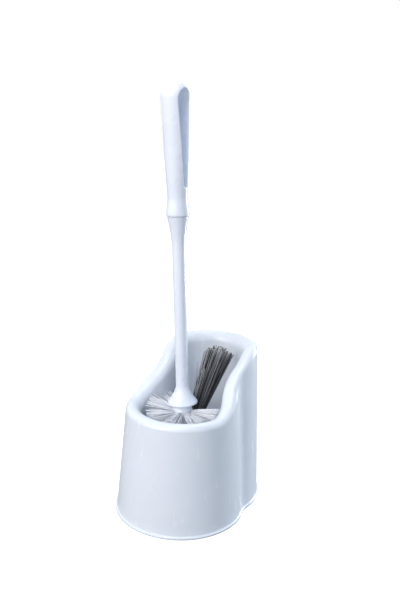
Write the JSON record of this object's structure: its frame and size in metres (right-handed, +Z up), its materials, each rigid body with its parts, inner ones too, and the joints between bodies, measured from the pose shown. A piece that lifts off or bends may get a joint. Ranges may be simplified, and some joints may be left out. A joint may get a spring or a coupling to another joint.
{
  "type": "toilet brush and holder",
  "caption": "Free-standing lobed plastic holder with a rolled, sloping rim, holding a lift-out toilet brush with a side rim-cleaning tuft and a hollowed grip.",
  "frame": {"origin": "on the surface it stands on, under the middle of the holder's foot", "axes": "+Z up, -Y to the low front of the holder, +Y to its high back, +X to the right seen from the front"},
  "size_m": [0.125, 0.161, 0.3948],
  "materials": {
    "holder_plastic": "glossy moulded polypropylene, cool white",
    "handle_plastic": "satin-gloss moulded polypropylene, cool white",
    "white_bristle": "white polypropylene filament",
    "grey_bristle": "stiff dark grey nylon filament"
  },
  "bodies": {
    "holder": {"holder_shell": "holder_plastic"},
    "brush": {"stem": "handle_plastic", "grip": "handle_plastic", "head_core": "handle_plastic", "white_tuft_1_1": "white_bristle", "white_tuft_1_2": "white_bristle", "white_tuft_1_3": "white_bristle", "white_tuft_1_4": "white_bristle", "white_tuft_1_5": "white_bristle", "white_tuft_1_6": "white_bristle", "white_tuft_1_7": "white_bristle", "white_tuft_1_8": "white_bristle", "white_tuft_2_1": "white_bristle", "white_tuft_2_2": "white_bristle", "white_tuft_2_3": "white_bristle", "white_tuft_2_4": "white_bristle", "white_tuft_2_5": "white_bristle", "white_tuft_2_6": "white_bristle", "white_tuft_2_7": "white_bristle", "white_tuft_2_8": "white_bristle", "white_tuft_3_1": "white_bristle", "white_tuft_3_2": "white_bristle", "white_tuft_3_3": "white_bristle", "white_tuft_3_4": "white_bristle", "white_tuft_3_5": "white_bristle", "white_tuft_3_6": "white_bristle", "white_tuft_3_7": "white_bristle", "white_tuft_3_8": "white_bristle", "white_tuft_4_2": "white_bristle", "white_tuft_4_3": "white_bristle", "white_tuft_4_4": "white_bristle", "white_tuft_4_5": "white_bristle", "white_tuft_4_6": "white_bristle", "white_tuft_4_7": "white_bristle", "white_tuft_4_8": "white_bristle", "white_tuft_5_2": "white_bristle", "white_tuft_5_3": "white_bristle", "white_tuft_5_4": "white_bristle", "white_tuft_5_5": "white_bristle", "white_tuft_5_6": "white_bristle", "white_tuft_5_7": "white_bristle", "crown_tuft_1": "white_bristle", "crown_tuft_2": "white_bristle", "crown_tuft_3": "white_bristle", "crown_tuft_4": "white_bristle", "crown_tuft_5": "white_bristle", "crown_tuft_6": "white_bristle", "crown_tuft_centre": "white_bristle", "rim_tuft_1": "grey_bristle", "rim_tuft_2": "grey_bristle", "rim_tuft_3": "grey_bristle", "rim_tuft_4": "grey_bristle"}
  },
  "joints": [
    {"name": "brush_lift", "type": "slide", "parent": "holder", "child": "brush", "axis": [0, 0, 1], "range_m": [0, 0.16]}
  ]
}
